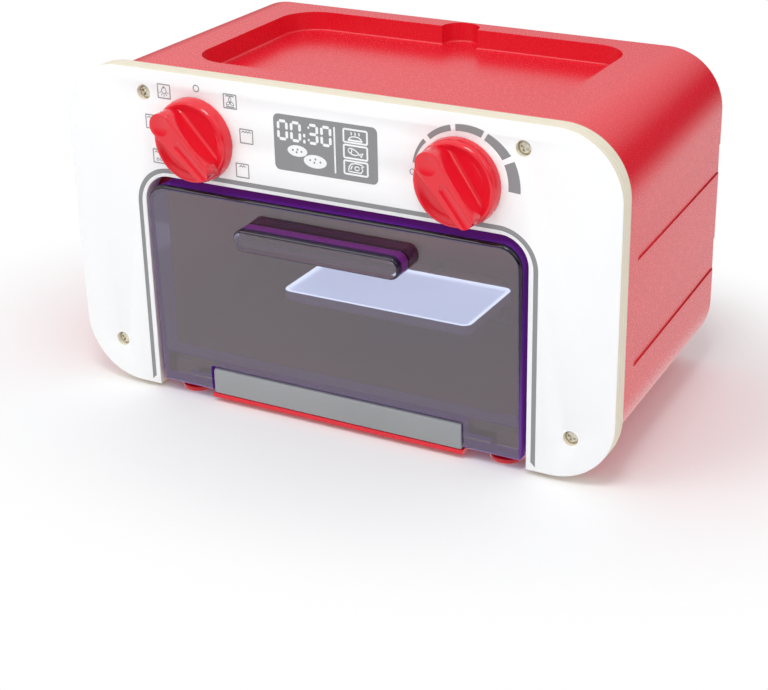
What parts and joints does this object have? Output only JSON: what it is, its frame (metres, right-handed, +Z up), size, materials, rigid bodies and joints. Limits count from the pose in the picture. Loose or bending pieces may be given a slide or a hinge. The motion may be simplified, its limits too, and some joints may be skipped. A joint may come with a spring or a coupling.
{
  "type": "toy oven",
  "caption": "Toy oven with a white plywood front, red moulded housing, drop-down smoked window door, two click knobs and a lit shelf.",
  "frame": {"origin": "on the floor under the middle of the oven's box", "axes": "+X to the right seen from the front, +Y from the front to the back, +Z up"},
  "size_m": [0.32, 0.1858, 0.1866],
  "materials": {
    "red_plastic": "satin moulded red",
    "white_plywood": "white-faced plywood, bare edges",
    "smoked_violet": "clear smoked violet, polished",
    "grey_plastic": "satin grey",
    "dark_red_plastic": "satin dark red",
    "milky_plastic": "milky, lit from below",
    "white_plastic": "satin white",
    "black_plastic": "satin black",
    "nickel_steel": "nickel plated steel",
    "circuit_board": "green board",
    "cell_jacket": "plain dark jacket",
    "wire_jacket": "soft red jacket"
  },
  "bodies": {
    "oven": {"battery_box": "black_plastic", "battery_cell_1": "cell_jacket", "battery_cell_2": "cell_jacket", "battery_cell_3": "cell_jacket", "battery_contact_1": "nickel_steel", "battery_contact_2": "nickel_steel", "battery_contact_3": "nickel_steel", "battery_contact_4": "nickel_steel", "battery_wires": "wire_jacket", "board_screw_1": "nickel_steel", "board_screw_2": "nickel_steel", "circuit_board": "circuit_board", "foot_1": "red_plastic", "foot_2": "red_plastic", "foot_3": "red_plastic", "foot_4": "red_plastic", "foot_5": "red_plastic", "foot_6": "red_plastic", "front_panel": "white_plywood", "hinge_bar": "grey_plastic", "hinge_bar_screw_1": "nickel_steel", "hinge_bar_screw_2": "nickel_steel", "hinge_pin_1": "nickel_steel", "hinge_pin_2": "nickel_steel", "housing": "red_plastic", "lamp_board": "circuit_board", "lamp_wires": "wire_jacket", "light_switch": "black_plastic", "liner_screw_1": "nickel_steel", "liner_screw_2": "nickel_steel", "liner_screw_3": "nickel_steel", "liner_screw_4": "nickel_steel", "mode_click_spring": "nickel_steel", "oven_liner": "dark_red_plastic", "panel_screw_1": "nickel_steel", "panel_screw_2": "nickel_steel", "panel_screw_3": "nickel_steel", "panel_screw_4": "nickel_steel", "shelf_bracket": "white_plastic", "shelf_screw_1": "nickel_steel", "shelf_screw_2": "nickel_steel", "shelf_tray": "milky_plastic", "spring_screw_1": "nickel_steel", "spring_screw_2": "nickel_steel", "timer_click_spring": "nickel_steel"},
    "door": {"door": "smoked_violet"},
    "mode_knob": {"mode_knob": "red_plastic", "mode_click_wheel": "white_plastic", "mode_wheel_screw": "nickel_steel"},
    "timer_knob": {"timer_knob": "red_plastic", "timer_click_wheel": "white_plastic", "timer_wheel_screw": "nickel_steel"},
    "battery_cover": {"battery_door": "red_plastic", "battery_door_screw": "nickel_steel"}
  },
  "joints": [
    {"name": "door_hinge", "type": "hinge", "parent": "oven", "child": "door", "pos_m": [0, -0.0727, 0.0128], "axis": [1, 0, 0], "range_deg": [0, 80]},
    {"name": "mode_turn", "type": "hinge", "parent": "oven", "child": "mode_knob", "pos_m": [-0.0776, -0.0771, 0.1523], "axis": [0, -1, 0], "continuous": true},
    {"name": "timer_turn", "type": "hinge", "parent": "oven", "child": "timer_knob", "pos_m": [0.075, -0.0771, 0.1523], "axis": [0, -1, 0], "range_deg": [-132, 52.5]},
    {"name": "battery_cover_lift", "type": "slide", "parent": "oven", "child": "battery_cover", "axis": [0, 1, 0], "range_m": [0, 0.03]}
  ]
}
